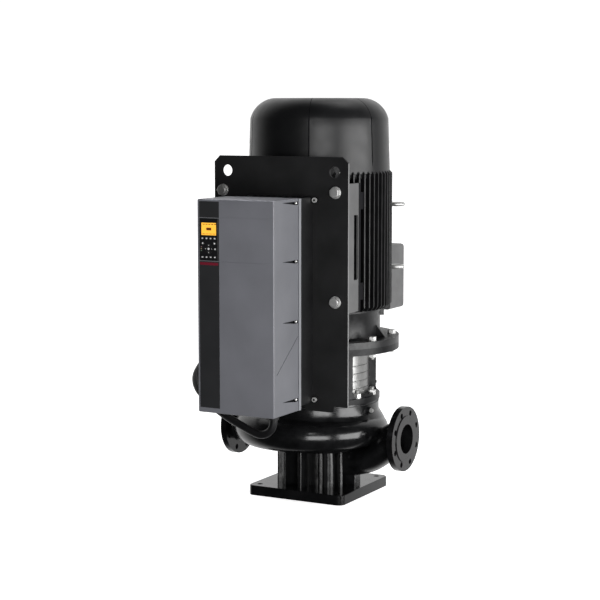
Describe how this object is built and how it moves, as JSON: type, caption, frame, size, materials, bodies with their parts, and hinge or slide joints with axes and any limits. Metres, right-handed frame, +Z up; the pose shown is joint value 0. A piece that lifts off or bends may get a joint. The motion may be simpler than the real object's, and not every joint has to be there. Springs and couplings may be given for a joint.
{
  "type": "inline centrifugal pump",
  "caption": "Vertical in-line centrifugal pump on a base plate, driven by a finned flange motor with a frequency converter on a mounting plate beside it.",
  "frame": {"origin": "on the shaft axis at the underside of the base plate", "axes": "+X along the pipe towards the suction flange, +Z up along the shaft, -Y towards the converter's control panel"},
  "size_m": [0.6813, 0.9694, 1.355],
  "materials": {
    "black_casting": "gloss paint",
    "dark_casting": "satin paint",
    "motor_black": "satin paint",
    "fan_cover_dark": "satin paint",
    "zinc_steel": "zinc plated",
    "stainless_steel": "brushed",
    "shaft_steel": "turned",
    "cast_iron": "cast",
    "bronze": "turned",
    "gasket_rubber": "matte",
    "seal_carbon": "lapped",
    "lamination_steel": "plain",
    "copper_winding": "varnished",
    "fan_plastic": "matte",
    "box_grey": "satin paint",
    "plate_black": "matte powder coat",
    "bracket_grey": "satin",
    "sink_aluminium": "dark anodised",
    "converter_grey": "fine texture",
    "strip_black": "satin",
    "panel_grey": "fine texture",
    "display_glass": "clear",
    "key_grey": "matte"
  },
  "bodies": {
    "pump_stand": {"base_plate": "black_casting", "foot_bolts": "zinc_steel", "volute_housing": "black_casting", "gauge_plugs": "zinc_steel", "air_vent_screw": "zinc_steel", "pump_cover": "black_casting", "cover_gasket": "gasket_rubber", "wear_ring": "bronze", "seal_seat": "seal_carbon", "motor_stool": "dark_casting", "stool_fasteners": "zinc_steel", "coupling_guards": "stainless_steel", "cover_screws": "zinc_steel", "drive_end_shield": "dark_casting", "flange_bolts": "zinc_steel", "stator_frame": "motor_black", "stator_core": "lamination_steel", "stator_windings": "copper_winding", "bearing_outer_rings": "shaft_steel", "fan_end_shield": "dark_casting", "fan_cover": "fan_cover_dark", "lifting_eyes": "zinc_steel", "terminal_box": "box_grey", "terminal_box_lid": "box_grey", "mounting_plate": "plate_black", "mounting_brackets": "bracket_grey", "mounting_bolts": "zinc_steel", "converter_heat_sink": "sink_aluminium", "converter_housing": "converter_grey", "converter_front_cover": "converter_grey", "converter_screws": "zinc_steel", "control_strip": "strip_black", "control_panel": "panel_grey", "display_window": "display_glass", "cable_glands": "fan_plastic", "motor_cable": "gasket_rubber"},
    "rotating_set": {"impeller": "cast_iron", "impeller_nut": "stainless_steel", "impeller_key": "shaft_steel", "pump_shaft": "shaft_steel", "seal_rotating_ring": "seal_carbon", "coupling_halves": "shaft_steel", "coupling_screws": "shaft_steel", "rotor_core": "lamination_steel", "motor_shaft": "shaft_steel", "bearing_inner_rings": "shaft_steel", "cooling_fan": "fan_plastic"},
    "key_status_cap": {"key_status": "key_grey"},
    "key_quick_menu_cap": {"key_quick_menu": "key_grey"},
    "key_main_menu_cap": {"key_main_menu": "key_grey"},
    "key_alarm_log_cap": {"key_alarm_log": "key_grey"},
    "key_back_cap": {"key_back": "key_grey"},
    "key_cancel_cap": {"key_cancel": "key_grey"},
    "key_info_cap": {"key_info": "key_grey"},
    "key_arrow_ring_cap": {"key_arrow_ring": "key_grey"},
    "key_ok_cap": {"key_ok": "key_grey"},
    "key_hand_on_cap": {"key_hand_on": "key_grey"},
    "key_off_cap": {"key_off": "key_grey"},
    "key_auto_on_cap": {"key_auto_on": "key_grey"},
    "key_reset_cap": {"key_reset": "key_grey"}
  },
  "joints": [
    {"name": "rotor_spin", "type": "hinge", "parent": "pump_stand", "child": "rotating_set", "pos_m": [0, 0, 0.45], "axis": [0, 0, 1], "continuous": true},
    {"name": "status_press", "type": "slide", "parent": "pump_stand", "child": "key_status_cap", "axis": [0, 1, 0], "range_m": [0, 0.001], "stiffness_N_per_m": 600},
    {"name": "quick_menu_press", "type": "slide", "parent": "pump_stand", "child": "key_quick_menu_cap", "axis": [0, 1, 0], "range_m": [0, 0.001], "stiffness_N_per_m": 600},
    {"name": "main_menu_press", "type": "slide", "parent": "pump_stand", "child": "key_main_menu_cap", "axis": [0, 1, 0], "range_m": [0, 0.001], "stiffness_N_per_m": 600},
    {"name": "alarm_log_press", "type": "slide", "parent": "pump_stand", "child": "key_alarm_log_cap", "axis": [0, 1, 0], "range_m": [0, 0.001], "stiffness_N_per_m": 600},
    {"name": "back_press", "type": "slide", "parent": "pump_stand", "child": "key_back_cap", "axis": [0, 1, 0], "range_m": [0, 0.001], "stiffness_N_per_m": 600},
    {"name": "cancel_press", "type": "slide", "parent": "pump_stand", "child": "key_cancel_cap", "axis": [0, 1, 0], "range_m": [0, 0.001], "stiffness_N_per_m": 600},
    {"name": "info_press", "type": "slide", "parent": "pump_stand", "child": "key_info_cap", "axis": [0, 1, 0], "range_m": [0, 0.001], "stiffness_N_per_m": 600},
    {"name": "arrow_ring_press", "type": "slide", "parent": "pump_stand", "child": "key_arrow_ring_cap", "axis": [0, 1, 0], "range_m": [0, 0.001], "stiffness_N_per_m": 600},
    {"name": "ok_press", "type": "slide", "parent": "pump_stand", "child": "key_ok_cap", "axis": [0, 1, 0], "range_m": [0, 0.001], "stiffness_N_per_m": 600},
    {"name": "hand_on_press", "type": "slide", "parent": "pump_stand", "child": "key_hand_on_cap", "axis": [0, 1, 0], "range_m": [0, 0.001], "stiffness_N_per_m": 600},
    {"name": "off_press", "type": "slide", "parent": "pump_stand", "child": "key_off_cap", "axis": [0, 1, 0], "range_m": [0, 0.001], "stiffness_N_per_m": 600},
    {"name": "auto_on_press", "type": "slide", "parent": "pump_stand", "child": "key_auto_on_cap", "axis": [0, 1, 0], "range_m": [0, 0.001], "stiffness_N_per_m": 600},
    {"name": "reset_press", "type": "slide", "parent": "pump_stand", "child": "key_reset_cap", "axis": [0, 1, 0], "range_m": [0, 0.001], "stiffness_N_per_m": 600}
  ]
}
